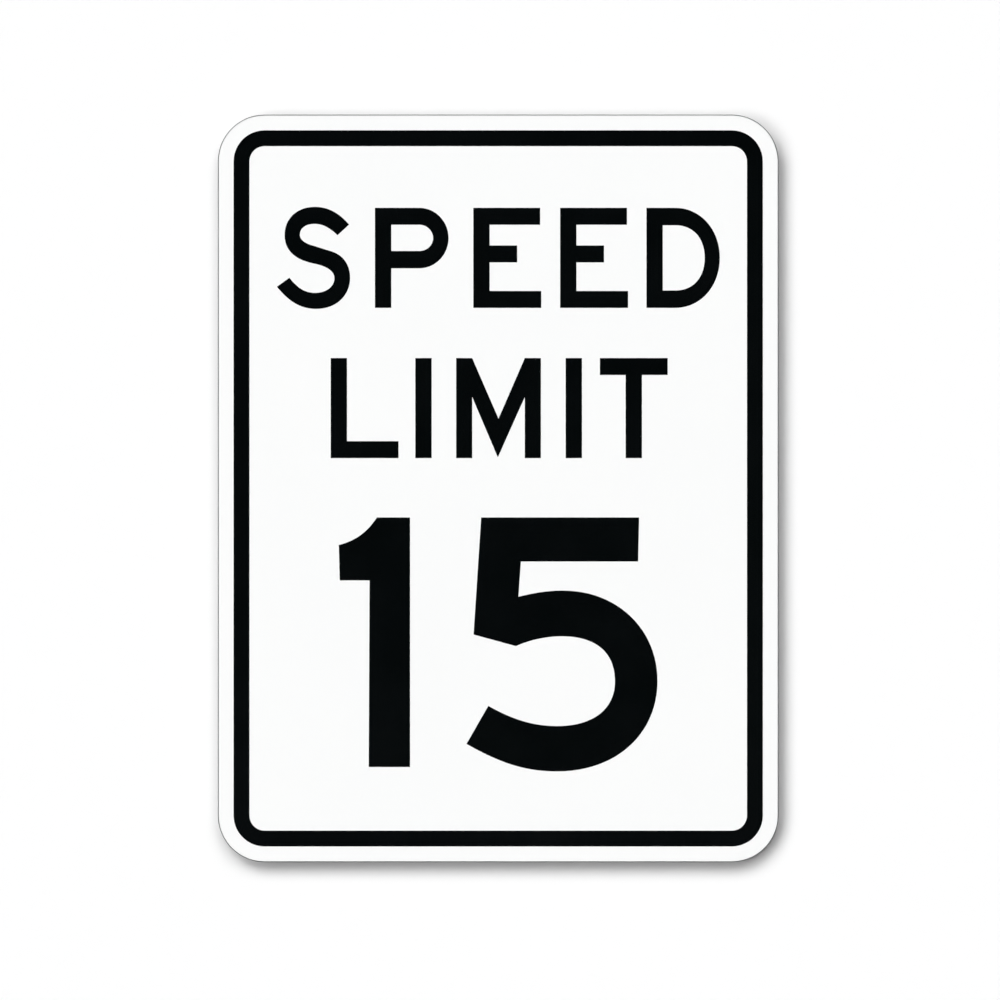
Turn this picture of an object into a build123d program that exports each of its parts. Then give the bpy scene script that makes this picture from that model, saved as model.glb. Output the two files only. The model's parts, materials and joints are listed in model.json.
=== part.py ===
"""Speed limit sign, 18 x 24 in: a flat aluminium blank faced with white reflective sheeting.

A black border of overlay film is laid on the sheeting. The model is in millimetres. +Z runs up
the sign, the face looks along -Y, and the origin is the centre of the flat back face.
"""

import os

from build123d import *

# Blank: flat sheet, cut to a standard size with rounded corners
sign_width = 457.2
sign_height = 609.6
corner_radius = 38.1
blank_thickness = 2.03
edge_break = 0.4
largest_break = 0.4 * blank_thickness

# White sheeting, trimmed a little inside the flat of the blank so that a bare metal rim shows
sheeting_thickness = 0.35
sheeting_clearance = 0.3
sheeting_setback = edge_break + sheeting_clearance

# Black border, laid on the sheeting
border_setback = 12.8
border_width = 12.9
border_thickness = 0.1

# The tightest corner that a knife can cut in the films
least_corner_radius = 1.0

# The layers stack up from the back face towards the reader
back_plane = Plane.XZ
face_plane = back_plane.offset(blank_thickness)
border_plane = face_plane.offset(sheeting_thickness)


def outline(setback, mode=Mode.ADD):
    """The blank's outline drawn in by a setback, with its corners about the same centres."""
    return RectangleRounded(
        sign_width - 2 * setback,
        sign_height - 2 * setback,
        max(corner_radius - setback, least_corner_radius),
        mode=mode,
    )


# Aluminium blank, with the sharp edge taken off front and back
with BuildPart() as aluminium_blank:
    with BuildSketch(back_plane):
        outline(0)
    extrude(amount=blank_thickness)
    broad_faces = aluminium_blank.faces().filter_by(Axis.Y)
    fillet(broad_faces.edges(), min(edge_break, largest_break))

# Sheeting over the flat of the front face, all but its rim
with BuildPart() as white_sheeting:
    with BuildSketch(face_plane):
        outline(sheeting_setback)
    extrude(amount=sheeting_thickness)

# Border: one closed band, as wide at the corners as along the sides
with BuildPart() as black_border:
    with BuildSketch(border_plane):
        outline(border_setback)
        outline(border_setback + border_width, mode=Mode.SUBTRACT)
    extrude(amount=border_thickness)

pieces = {
    "aluminium_blank": aluminium_blank,
    "white_sheeting": white_sheeting,
    "black_border": black_border,
}

os.makedirs("parts", exist_ok=True)
for name, piece in pieces.items():
    piece.part.label = name
    export_step(piece.part, f"parts/{name}.step")
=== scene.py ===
"""Looks of the speed limit sign: the films and bare metal, the cut legend, the light and the camera.

The sign stands upright and faces -Y, its origin at the centre of its flat back. The legend is set out
in millimetres on the face, X to a reader's right and Z up from the sign's centre, and is scaled to
metres where it becomes a mesh. Everything else is in metres.
"""

import json
from math import cos, hypot, pi, radians, sin

import bpy
import numpy as np
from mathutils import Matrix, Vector
from mathutils.geometry import tessellate_polygon


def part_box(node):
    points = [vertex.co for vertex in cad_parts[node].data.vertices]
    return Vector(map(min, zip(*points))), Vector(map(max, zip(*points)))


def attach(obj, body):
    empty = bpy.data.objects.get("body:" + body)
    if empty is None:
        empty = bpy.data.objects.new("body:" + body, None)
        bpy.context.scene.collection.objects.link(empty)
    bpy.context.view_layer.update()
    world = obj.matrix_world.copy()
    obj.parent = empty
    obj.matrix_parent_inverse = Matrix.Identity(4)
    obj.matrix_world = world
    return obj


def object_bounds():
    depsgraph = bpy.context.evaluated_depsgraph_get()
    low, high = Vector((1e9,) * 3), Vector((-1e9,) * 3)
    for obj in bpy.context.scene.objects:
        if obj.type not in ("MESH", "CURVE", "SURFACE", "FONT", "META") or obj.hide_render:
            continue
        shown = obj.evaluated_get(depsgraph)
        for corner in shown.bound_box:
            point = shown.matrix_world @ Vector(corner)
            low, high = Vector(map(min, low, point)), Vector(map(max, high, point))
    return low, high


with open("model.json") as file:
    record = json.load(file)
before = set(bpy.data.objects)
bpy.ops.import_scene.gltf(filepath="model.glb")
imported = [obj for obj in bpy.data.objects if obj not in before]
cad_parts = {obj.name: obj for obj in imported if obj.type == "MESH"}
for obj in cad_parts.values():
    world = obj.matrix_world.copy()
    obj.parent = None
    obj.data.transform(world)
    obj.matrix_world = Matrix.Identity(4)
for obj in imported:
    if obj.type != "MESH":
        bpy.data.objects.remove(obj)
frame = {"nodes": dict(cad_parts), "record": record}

cad_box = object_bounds()
MM = 0.001
MICRON = 0.000001

# Heights of the layers, read from the solids
face_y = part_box("white_sheeting")[0].y
film_front_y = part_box("black_border")[0].y
film_shoulder = 0.03 * MM

# Lettering: strokes and heights of the two lines of words and of the numerals, and where each line starts
letter_height = 81.6
upright = 13.3
level = 13.8
overshoot = 0.8
numeral_height = 203.5
first_line = (-180.5, 147.2)
second_line = (-136.6, 24.7)
numeral_line = (-130.0, -227.2)

# The photograph: the sign's centre in pixels, and the size of a pixel on its face
image_side = 1000
sign_centre_x = 498.2
sign_centre_y = 488.4
pixel = 0.8155 * MM

# Camera
lens = 300
sensor = 36

# Stage: a backdrop close behind the sign, and a floor below. The backdrop's white is as much as keeps it
# just full white in the open
backdrop_gap = 0.015
backdrop_side = 1.0
backdrop_overlap = 0.06
backdrop_white = 0.953
floor_z = -0.75
floor_side = 5.0
floor_white = 0.8
floor_glow = 0.8

# Light from in front: three round lamps that share it, and what comes from all round. A lamp's light runs
# so far to the right and down for each metre back, and its half angle in degrees softens its shadow
front_light = 1.02
all_round_light = 0.03
lamps = {
    "left_lamp": {"right": 0.561, "down": -0.092, "half_angle": 18.4, "share": 0.326},
    "top_lamp": {"right": -0.145, "down": 0.561, "half_angle": 18.7, "share": 0.345},
    "corner_lamp": {"right": 0.463, "down": 0.578, "half_angle": 14.2, "share": 0.329},
}

# A square lamp behind the sign, aimed at its centre, for the bare back
fill_place = (-1.1, 1.5, 1.0)
fill_side = 1.2
fill_power = 16


# Nodes of a material or of the world

class Wire:
    """An output socket. Arithmetic between wires and numbers adds one Math node for each operator."""

    def __init__(self, tree, socket):
        self.tree = tree
        self.socket = socket

    def math(self, operation, left, right):
        return add(self.tree, "ShaderNodeMath", {"operation": operation}, {0: left, 1: right})

    def __add__(self, other):
        return self.math("ADD", self, other)

    def __radd__(self, other):
        return self.math("ADD", other, self)

    def __sub__(self, other):
        return self.math("SUBTRACT", self, other)

    def __rsub__(self, other):
        return self.math("SUBTRACT", other, self)

    def __mul__(self, other):
        return self.math("MULTIPLY", self, other)

    def __rmul__(self, other):
        return self.math("MULTIPLY", other, self)

    def __lt__(self, other):
        return self.math("LESS_THAN", self, other)


def add(tree, kind, settings, values, output=0):
    """Adds a node, sets it up, fills or links its inputs, and gives back one of its outputs as a wire."""
    node = tree.nodes.new(kind)
    for name, setting in settings.items():
        setattr(node, name, setting)
    for name, value in values.items():
        if isinstance(value, Wire):
            tree.links.new(value.socket, node.inputs[name])
        else:
            node.inputs[name].default_value = value
    return Wire(tree, node.outputs[output]) if node.outputs else node


def smooth(wire, low, high):
    """0 below low and 1 above high, with a smooth turn between; low may be above high."""
    return add(wire.tree, "ShaderNodeMapRange", {"interpolation_type": "SMOOTHSTEP"},
               {"Value": wire, "From Min": low, "From Max": high})


def between(share, first, second):
    """A colour between two, numbers or wires: the first where share is 0, the second where it is 1."""
    first, second = (colour if isinstance(colour, Wire) else (*colour, 1) for colour in (first, second))
    return add(share.tree, "ShaderNodeMix", {"data_type": "RGBA"}, {"Factor": share, 6: first, 7: second},
               output=2)


def coordinates(tree, kind):
    """A place or a direction: on the piece in metres, its normal, or the way that a ray runs."""
    return add(tree, "ShaderNodeTexCoord", {}, {}, output=kind)


def ray(tree, question):
    """1 or 0, or a count, for what kind of ray it is that asks for the colour."""
    return add(tree, "ShaderNodeLightPath", {}, {}, output=question)


def noise(place, scale, detail=2.0, roughness=0.5):
    """Cloudy values about a half, with as many clouds to the metre as the scale says."""
    return add(place.tree, "ShaderNodeTexNoise", {},
               {"Vector": place, "Scale": scale, "Detail": detail, "Roughness": roughness})


def stretched(place, scale, turn=0.0):
    """The place on the piece, scaled by a factor for each axis and turned about Y by some degrees."""
    return add(place.tree, "ShaderNodeMapping", {},
               {"Vector": place, "Scale": scale, "Rotation": (0, radians(turn), 0)})


def bump(height, depth, under=None):
    """A relief of the given depth in metres, laid over another one if it is given."""
    values = {"Height": height, "Distance": depth, "Strength": 1.0}
    if under is not None:
        values["Normal"] = under
    return add(height.tree, "ShaderNodeBump", {}, values)


def new_tree(name):
    """An empty material and its node tree."""
    material = bpy.data.materials.new(name)
    material.use_nodes = True
    tree = material.node_tree
    tree.nodes.clear()
    return material, tree


def surface(tree, **values):
    """A Principled surface as the material's output; an underscore in a name stands for a space."""
    named = {name.replace("_", " "): value for name, value in values.items()}
    shader = add(tree, "ShaderNodeBsdfPrincipled", {}, named)
    add(tree, "ShaderNodeOutputMaterial", {}, {"Surface": shader})


# Finishes of the sign

def reflective_film():
    """White sheeting: satin film over glass beads, a little orange peel and a faint cloudy tone."""
    material, tree = new_tree("white_reflective_film")
    place = coordinates(tree, "Object")
    cloud = noise(place, 7.0, detail=3.0)
    beads = add(tree, "ShaderNodeTexVoronoi", {}, {"Vector": place, "Scale": 2200.0}, output="Distance")
    peel = noise(place, 260.0, detail=1.0)
    relief = bump(beads, 4 * MICRON, under=bump(peel, 4 * MICRON))
    tone = smooth(cloud * 0.8 + beads * 0.4, 0.25, 0.95)
    surface(
        tree,
        Base_Color=between(tone, (0.965, 0.970, 0.966), (0.942, 0.949, 0.947)),
        Roughness=0.30 + cloud * 0.12,
        Normal=relief,
        Coat_Weight=0.2,
        Coat_Roughness=0.12,
    )
    return material


def overlay_film():
    """Black film: opaque, low sheen, with a very fine grain and slightly cloudy roughness."""
    material, tree = new_tree("black_overlay_film")
    place = coordinates(tree, "Object")
    cloud = noise(place, 16.0, detail=3.0)
    grain = noise(place, 1400.0)
    surface(
        tree,
        Base_Color=between(smooth(cloud, 0.3, 0.7), (0.0005, 0.0013, 0.0015), (0.0011, 0.0019, 0.0022)),
        Roughness=0.20 + cloud * 0.10,
        Normal=bump(grain, 2 * MICRON),
        Specular_IOR_Level=0.3,
    )
    return material


def bare_aluminium():
    """Mill finish: rolling grain along the sheet's length, cloudy oxide and a few handling scratches.

    Where the surface turns away from the flat of the sheet, on the edge break, it is dull and painted dark as
    painted shade, so that the rim shows as a dark outline; where it lies square to the flat it is the cut
    edge, with the saw's fine marks across it.
    """
    material, tree = new_tree("bare_aluminium")
    place = coordinates(tree, "Object")
    across = add(tree, "ShaderNodeSeparateXYZ", {}, {0: coordinates(tree, "Normal")}, output="Y")
    # The edge break: where the painted shade goes, and where the metal is rougher
    edge = smooth(across * across, 0.995, 0.93)
    cut = smooth(across * across, 0.20, 0.05)
    saw = noise(stretched(place, (1.0, 0.05, 1.0)), 2200.0)
    grain = noise(stretched(place, (1.0, 1.0, 0.012)), 1600.0, detail=3.0, roughness=0.6)
    line = noise(stretched(place, (1.0, 1.0, 0.008)), 480.0, detail=4.0, roughness=0.65)
    streak = noise(stretched(place, (1.0, 1.0, 0.02)), 90.0)
    oxide = noise(place, 6.0, detail=5.0, roughness=0.6)
    scratch = smooth(noise(stretched(place, (1.0, 1.0, 0.03), turn=24.0), 420.0, detail=1.0), 0.735, 0.76)
    tone = smooth(0.45 * line + 0.2 * streak + 0.35 * oxide, 0.38, 0.62)
    flat_colour = between(tone, (0.660, 0.670, 0.685), (0.745, 0.752, 0.760))
    # Painted shade: a dark colour on the edge break that stands in for the shade making the rim a dark
    # outline
    edge_shade_colour = between(oxide, (0.13, 0.13, 0.14), (0.21, 0.21, 0.22))
    cut_colour = between(smooth(saw, 0.3, 0.7), (0.50, 0.51, 0.52), (0.66, 0.665, 0.67))
    surface(
        tree,
        Base_Color=between(cut, between(edge, flat_colour, edge_shade_colour), cut_colour),
        Metallic=1.0,
        Roughness=0.30 + grain * 0.10 + oxide * 0.12 - scratch * 0.08 + edge * 0.10,
        Normal=bump(grain - scratch + saw * cut, 6 * MICRON),
    )
    return material


# The legend's outlines

def bend(start, corner, end, fullness=1.0, steps=24):
    """Points of a bend that leaves start towards corner and reaches end coming from corner.

    It is a cubic curve, (1-t)^3 start + 3(1-t)^2 t out + 3(1-t)t^2 into + t^3 end, whose handles out and
    into lie on the two tangents. They reach as far as those of a round arc through the same turn, which is
    4/3 tan(turn/4) / tan(turn/2) of the way to the corner, times the fullness: above 1 is squarer.
    """
    start, corner, end = (np.array(point, float) for point in (start, corner, end))
    first, last = corner - start, end - corner
    turn = np.arccos(first @ last / np.hypot(*first) / np.hypot(*last))
    reach = fullness * 4 / 3 * np.tan(turn / 4) / np.tan(turn / 2)
    out, into = start + reach * first, end - reach * last
    t = np.linspace(0, 1, steps + 1)[1:, None]
    return (1 - t) ** 3 * start + 3 * (1 - t) ** 2 * t * out + 3 * (1 - t) * t**2 * into + t**3 * end


def trace(start, *cuts):
    """A closed outline, cut from point to point.

    A cut of two numbers goes straight to that point. One of four or five bends about the corner that
    the first two give and ends at the next two; the fifth is the bend's fullness.
    """
    runs = [np.array([start], float)]
    for cut in cuts:
        here = runs[-1][-1]
        straight = len(cut) == 2
        runs.append(np.array([cut], float) if straight else bend(here, cut[:2], cut[2:4], *cut[4:]))
    return np.vstack(runs)


def letter_s():
    """One stroke of even width through two bowls, the lower one larger, cut square at both ends."""
    top, bottom = letter_height + overshoot, -overshoot
    inner_top, inner_bottom = top - level - 0.1, bottom + level - 0.7
    return [trace(
        (58.9, 68), (46.3, top, 30.9, top, 1.08), (6.3, top, 6.3, 59.5, 1.06), (6.3, 40.9, 30.9, 36, 1.16),
        (46.9, 32.7, 46.9, 24.2, 1.12), (46.9, inner_bottom, 30.9, inner_bottom, 1.06),
        (19.9, inner_bottom, 10.2, 24.7, 1.12), (0, 17.2), (14.8, bottom, 32.4, bottom, 1.13),
        (59.7, bottom, 59.7, 24.4, 1.04), (59.7, 42.6, 41.9, 46.9, 1.1), (30.9, 50.4),
        (18.8, 53.5, 18.8, 59.8, 1.15), (18.8, inner_top, 30.9, inner_top, 1.1),
        (39.7, inner_top, 49.5, 59.3, 1.1),
    )]


def letter_p():
    """A full upright and a bowl on its upper part, with the bowl's counter cut out."""
    top, bowl_foot, run = letter_height, 32.3, 36.1
    outer_x, inner_x = 60, 47.4
    middle = (top + bowl_foot) / 2
    high, low = top - level, bowl_foot + level + 0.3
    return [
        trace((0, 0), (upright, 0), (upright, bowl_foot), (run, bowl_foot),
              (outer_x, bowl_foot, outer_x, middle), (outer_x, top, run, top), (0, top)),
        trace((upright, low), (upright, high), (run, high), (inner_x, high, inner_x, middle),
              (inner_x, low, run, low)),
    ]


def letter_e():
    """An upright with three arms, the middle one short and a little above the middle."""
    foot, tongue, brow = 55.4, 35.8, 54.5
    low, high = 37.1, 37.1 + level
    top, under_brow = letter_height, letter_height - level
    return [trace(
        (0, 0), (foot, 0), (foot, level), (upright, level), (upright, low), (tongue, low), (tongue, high),
        (upright, high), (upright, under_brow), (brow, under_brow), (brow, top), (0, top),
    )]


def letter_d():
    """An upright and a bowl over the whole height, with the counter cut out."""
    top, middle, run = letter_height, letter_height / 2, 23.5
    outer_x, inner_x, wall = 59.8, 47.5, level + 0.4
    high, low = top - wall, wall
    return [
        trace((0, 0), (run, 0), (outer_x, 0, outer_x, middle, 1.03), (outer_x, top, run, top, 1.03),
              (0, top)),
        trace((upright, low), (upright, high), (run, high), (inner_x, high, inner_x, middle, 1.1),
              (inner_x, low, run, low, 1.1)),
    ]


def letter_l():
    """An upright with a foot."""
    foot, top = 55.3, letter_height
    return [trace((0, 0), (foot, 0), (foot, level), (upright, level), (upright, top), (0, top))]


def letter_i():
    """A plain upright."""
    return [trace((0, 0), (upright, 0), (upright, letter_height), (0, letter_height))]


def letter_m():
    """Two uprights joined by a vee that comes down to the line."""
    width, leg = 69.1, 13.1
    crotch_x, point_x = width / 2, 34.0
    shoulder_z, point_z, crotch_z = 49.8, 0.6, 32.2
    return [trace(
        (0, 0), (leg, 0), (leg, shoulder_z), (point_x, point_z), (width - leg, shoulder_z), (width - leg, 0),
        (width, 0), (width, letter_height), (width - leg, letter_height), (crotch_x, crotch_z),
        (leg, letter_height), (0, letter_height),
    )]


def letter_t():
    """A bar on a centred upright."""
    bar = 55.3
    left, right = (bar - upright) / 2, (bar + upright) / 2
    top, under_bar = letter_height, letter_height - level
    return [trace((left, 0), (right, 0), (right, under_bar), (bar, under_bar), (bar, top), (0, top),
                  (0, under_bar), (left, under_bar))]


def numeral_1():
    """A heavy upright, a touch wider at the foot, with a square flag under a hollow curve."""
    right, foot_left, stem_left = 58.1, 24.4, 25.1
    flag_foot, flag_tip, curve_top = 152.2, 181.1, 31
    return [trace(
        (foot_left, 0), (right, 0), (right, numeral_height), (curve_top, numeral_height),
        (19.7, 185.9, 0, flag_tip, 1.05), (0.8, flag_foot), (stem_left, flag_foot),
    )]


def numeral_5():
    """A flag and a slightly leaning upright above one wide bowl, cut square where it ends."""
    top, bowl_foot, bowl_top = numeral_height, -3.6, 143.9
    hollow_foot, hollow_top = 33.4, 106.6
    outer_x, inner_x = 155.8, 121.1
    return [trace(
        (12, top), (5.8, 108), (40.3, 98.6), (58.7, hollow_top, 77.7, hollow_top),
        (inner_x, hollow_top, inner_x, 69.7, 1.17), (inner_x, hollow_foot, 74.2, hollow_foot, 1.12),
        (47.2, hollow_foot, 17.8, 49.9, 1.08), (0, 18.8), (39.8, bowl_foot, 74.2, bowl_foot, 1.12),
        (outer_x, bowl_foot, outer_x, 70.1, 1.06), (outer_x, bowl_top, 78.7, bowl_top, 1.04),
        (61.7, bowl_top, 42.4, 138.8), (44.4, 167.6), (140, 167.6), (140.8, top),
    )]


# Cutting the legend from film

def signed_area(outline):
    """Area by the shoelace sum, positive where the outline runs anticlockwise as a reader sees it."""
    x, z = outline.T
    return 0.5 * np.sum(x * np.roll(z, -1) - np.roll(x, -1) * z)


def mitres(outline):
    """For each corner, the step into the film that moves both of its sides inward by one unit.

    With a and b the unit normals of the two sides, to the left of the way round, it is (a+b) / (1 + a.b).
    """
    side = np.roll(outline, -1, axis=0) - outline
    side /= np.hypot(*side.T)[:, None]
    after = np.stack([-side[:, 1], side[:, 0]], axis=1)
    before = np.roll(after, 1, axis=0)
    return (before + after) / (1 + np.sum(before * after, axis=1))[:, None]


def filled(outlines):
    """Triangles between an outline and its counters, each three numbers of points, all anticlockwise.

    They are worked out on a copy turned askew, where no two level sides share a line, so that none is empty.
    """
    turn = radians(20)
    askew = np.array([[cos(turn), -sin(turn)], [sin(turn), cos(turn)]])
    triangles = np.array(tessellate_polygon([(outline @ askew).tolist() for outline in outlines]))
    a, b, c = (np.vstack(outlines)[triangles[:, k]] for k in range(3))
    first, second = (b - a).T, (c - a).T
    over = first[0] * second[1] < first[1] * second[0]
    triangles[over] = triangles[over][:, ::-1]
    return triangles


def cut_film(name, outlines, left, line_z):
    """One closed piece of film laid on the face: an outline and any counters, placed at left on a line.

    The edge is a profile carried round each outline: straight up from the face, then a quarter turn, where
    a point at angle a lies shoulder (1 - cos a) inside the outline and shoulder (1 - sin a) below the front.
    An outline runs anticlockwise and a counter clockwise, so that the film is on the left of both.
    """
    angle = np.radians([0, 30, 60, 90])
    inset = np.append(0, film_shoulder * (1 - np.cos(angle)))
    depth = np.append(face_y, film_front_y + film_shoulder * (1 - np.sin(angle)))
    rings = len(inset)
    placed, points, faces, backs, fronts, count = [], [], [], [], [], 0
    for number, outline in enumerate(outlines):
        kept = (signed_area(outline) > 0) == (number == 0)
        outline = (outline if kept else outline[::-1]) * MM + (left * MM, line_z * MM)
        around = len(outline)
        ring = outline + inset[:, None, None] * mitres(outline)
        height = np.broadcast_to(depth[:, None, None], (rings, around, 1))
        here = count + np.arange(around) + around * np.arange(rings - 1)[:, None]
        ahead = np.roll(here, -1, axis=1)
        placed.append(outline)
        points.append(np.concatenate([ring[..., :1], height, ring[..., 1:]], axis=2).reshape(-1, 3))
        faces += np.stack([here, ahead, ahead + around, here + around], axis=-1).reshape(-1, 4).tolist()
        backs.append(here[0])
        fronts.append(here[-1] + around)
        count += rings * around
    triangles = filled(placed)
    faces += np.concatenate(fronts)[triangles].tolist() + np.concatenate(backs)[triangles[:, ::-1]].tolist()
    mesh = bpy.data.meshes.new(name)
    mesh.from_pydata(np.vstack(points).tolist(), [], faces)
    mesh.update()
    piece = bpy.data.objects.new(name, mesh)
    bpy.context.scene.collection.objects.link(piece)
    mesh.materials.append(finishes["black_overlay_film"])
    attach(piece, "root")


def set_line(start, letters):
    """Lays letters from left to right from the start of a line, each with the gap that follows it."""
    left, line_z = start
    for name, outlines, gap in letters:
        cut_film(name, outlines, left, line_z)
        left += outlines[0][:, 0].max() + gap


def lay_legend():
    """The two lines of words and the numerals, as the spacing of the photograph has them."""
    set_line(first_line, [
        ("speed_S", letter_s(), 20.3), ("speed_P", letter_p(), 20.2), ("speed_E1", letter_e(), 15.4),
        ("speed_E2", letter_e(), 15.0), ("speed_D", letter_d(), 0),
    ])
    set_line(second_line, [
        ("limit_L", letter_l(), 13.7), ("limit_I1", letter_i(), 20.0), ("limit_M", letter_m(), 20.2),
        ("limit_I2", letter_i(), 14.6), ("limit_T", letter_t(), 0),
    ])
    set_line(numeral_line, [("numeral_1", numeral_1(), 46.0), ("numeral_5", numeral_5(), 0)])


# Stage

def stage_sheet(name, points, faces):
    """A flat sheet that belongs to the stage, not to the sign."""
    mesh = bpy.data.meshes.new(name)
    mesh.from_pydata(points.tolist(), [], faces)
    sheet = bpy.data.objects.new(name, mesh)
    bpy.context.scene.collection.objects.link(sheet)
    return sheet


def backdrop_board():
    """An upright square that faces the reader, open in the middle, where the sign always hides it."""
    corner = np.array([(-1, 0, -1), (1, 0, -1), (1, 0, 1), (-1, 0, 1)])
    opening = (cad_box[1].x - backdrop_overlap, 0, cad_box[1].z - backdrop_overlap)
    points = np.vstack([corner * backdrop_side / 2, corner * opening]) + (0, backdrop_gap, 0)
    return stage_sheet("backdrop", points, [(k, (k + 1) % 4, (k + 1) % 4 + 4, k + 4) for k in range(4)])


def floor_board():
    """A level square that faces up."""
    corner = np.array([(-1, -1, 0), (1, -1, 0), (1, 1, 0), (-1, 1, 0)])
    return stage_sheet("floor", corner * floor_side / 2 + (0, 0, floor_z), [(0, 1, 2, 3)])


def white_ground(name, albedo, glow):
    """White paint that the camera may see glow, and that is clear from behind.

    Its rim doesn't show, because it and what lies beyond are both full white.
    """
    material, tree = new_tree(name)
    paint = add(tree, "ShaderNodeBsdfDiffuse", {}, {"Color": (albedo, albedo, albedo, 1)})
    shine = add(tree, "ShaderNodeEmission", {}, {"Strength": ray(tree, "Is Camera Ray") * glow})
    lit = add(tree, "ShaderNodeAddShader", {}, {0: paint, 1: shine})
    clear = add(tree, "ShaderNodeBsdfTransparent", {}, {})
    behind = add(tree, "ShaderNodeNewGeometry", {}, {}, output="Backfacing")
    mixed = add(tree, "ShaderNodeMixShader", {}, {0: behind, 1: lit, 2: clear})
    add(tree, "ShaderNodeOutputMaterial", {}, {"Surface": mixed})
    return material


def lay_stage():
    """A backdrop close behind the sign, which only the camera sees, and a wide floor that casts no shadow."""
    backdrop = backdrop_board()
    backdrop.data.materials.append(white_ground("white_backdrop", backdrop_white, 0))
    backdrop.visible_diffuse = backdrop.visible_glossy = backdrop.visible_shadow = False
    floor = floor_board()
    floor.data.materials.append(white_ground("pale_floor", floor_white, floor_glow))
    floor.visible_diffuse = floor.visible_shadow = False


def light_world():
    """White wherever the camera looks. Glossy finishes see white all round but on the reader's side."""
    world = bpy.data.worlds.new("studio")
    bpy.context.scene.world = world
    world.use_nodes = True
    tree = world.node_tree
    tree.nodes.clear()
    along = add(tree, "ShaderNodeSeparateXYZ", {}, {0: coordinates(tree, "Generated")}, output="Y")
    seen = ray(tree, "Is Camera Ray")
    mirrored = ray(tree, "Is Glossy Ray") * (ray(tree, "Diffuse Depth") < 0.5)
    studio = all_round_light + mirrored * smooth(along, -0.45, 0.2)
    strength = seen + (1 - seen) * studio
    sky = add(tree, "ShaderNodeBackground", {}, {"Color": (1, 1, 1, 1), "Strength": strength})
    add(tree, "ShaderNodeOutputWorld", {}, {"Surface": sky})


def hang(name, light, way):
    """Puts a light in the scene, shining the given way."""
    lamp = bpy.data.objects.new(name, light)
    lamp.rotation_euler = Vector(way).to_track_quat("-Z", "Y").to_euler()
    bpy.context.scene.collection.objects.link(lamp)
    return lamp


def hang_lamp(name, right, down, half_angle, share):
    """A round lamp far off in front of the sign. Only its diffuse light counts, so it leaves no glare.

    Its energy makes up for the slant at which its light falls on the face.
    """
    light = bpy.data.lights.new(name, "SUN")
    light.angle = radians(2 * half_angle)
    light.energy = share * front_light * pi * hypot(1, right, down)
    hang(name, light, (right, 1, -down)).visible_glossy = False


def light_sign():
    """Three lamps in front, and a fill on the back, whose light isn't passed on by what it falls on."""
    for name, lamp in lamps.items():
        hang_lamp(name, **lamp)
    light = bpy.data.lights.new("fill", "AREA")
    light.size = fill_side
    light.energy = fill_power
    light.cycles.max_bounces = 0
    fill = hang("fill", light, -Vector(fill_place))
    fill.location = fill_place
    fill.visible_camera = False


def place_camera():
    """Square to the face, as far off as makes one pixel the size it has in the photograph."""
    camera = bpy.data.cameras.new("camera")
    camera.lens = lens
    camera.sensor_width = sensor
    viewer = bpy.data.objects.new("camera", camera)
    distance = image_side * pixel * lens / sensor
    viewer.location = ((image_side / 2 - sign_centre_x) * pixel, face_y - distance,
                       (sign_centre_y - image_side / 2) * pixel)
    viewer.rotation_euler = (radians(90), 0, 0)
    bpy.context.scene.collection.objects.link(viewer)
    bpy.context.scene.camera = viewer


finishes = {
    "white_reflective_film": reflective_film(),
    "black_overlay_film": overlay_film(),
    "bare_aluminium": bare_aluminium(),
}
for part in frame["record"]["subparts"]:
    frame["nodes"][part["node"]].material_slots[0].material = finishes[part["material_slot"]]

lay_legend()
lay_stage()
light_world()
light_sign()
place_camera()
bpy.context.scene.view_settings.view_transform = "Standard"
